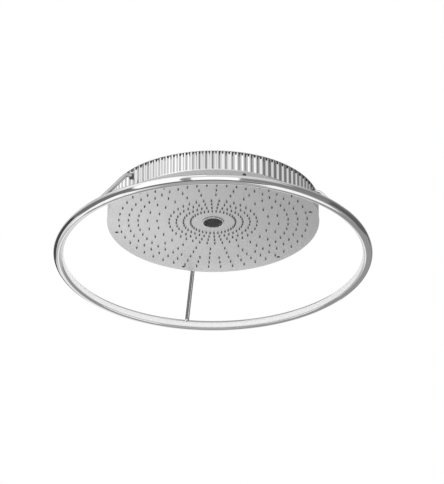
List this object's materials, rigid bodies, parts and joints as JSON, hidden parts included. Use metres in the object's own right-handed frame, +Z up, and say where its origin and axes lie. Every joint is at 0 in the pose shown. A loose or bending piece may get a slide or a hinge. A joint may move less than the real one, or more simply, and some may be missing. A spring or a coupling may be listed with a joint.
{
  "type": "rain shower head",
  "caption": "Round ceiling rain shower head with a fluted drum, a flat face of soft nozzles around a stream outlet, and a wide tube ring with a light along its inside, hung below on bent arms.",
  "frame": {"origin": "centre of the ceiling plate's upper face, where the axis meets the ceiling", "axes": "+Z up along the axis into the ceiling, +Y towards the first arm, +X to the right of it"},
  "size_m": [0.598, 0.598, 0.1355],
  "materials": {
    "chrome": "polished",
    "satin_steel": "satin",
    "plain_steel": "plain",
    "silicone": "soft matt",
    "dark_plastic": "matt",
    "brass": "machined",
    "opal": "frosted"
  },
  "bodies": {
    "root": {"ceiling_plate": "satin_steel", "fluted_wall": "chrome", "face_plate": "satin_steel", "face_screws": "plain_steel", "inner_nozzles": "silicone", "outer_nozzles": "silicone", "water_pan": "plain_steel", "stream_tube": "brass", "outlet_collar": "chrome", "collar_seal": "silicone", "flow_straightener": "dark_plastic", "stream_inlet": "brass", "rain_inlet": "brass", "stream_inlet_seal": "silicone", "rain_inlet_seal": "silicone", "arm_1": "chrome", "arm_2": "chrome", "arm_3": "chrome", "arm_block_1": "plain_steel", "arm_block_2": "plain_steel", "arm_block_3": "plain_steel", "arm_bushes": "silicone", "ring": "chrome", "light_opal": "opal", "light_tape": "opal"}
  },
  "joints": []
}
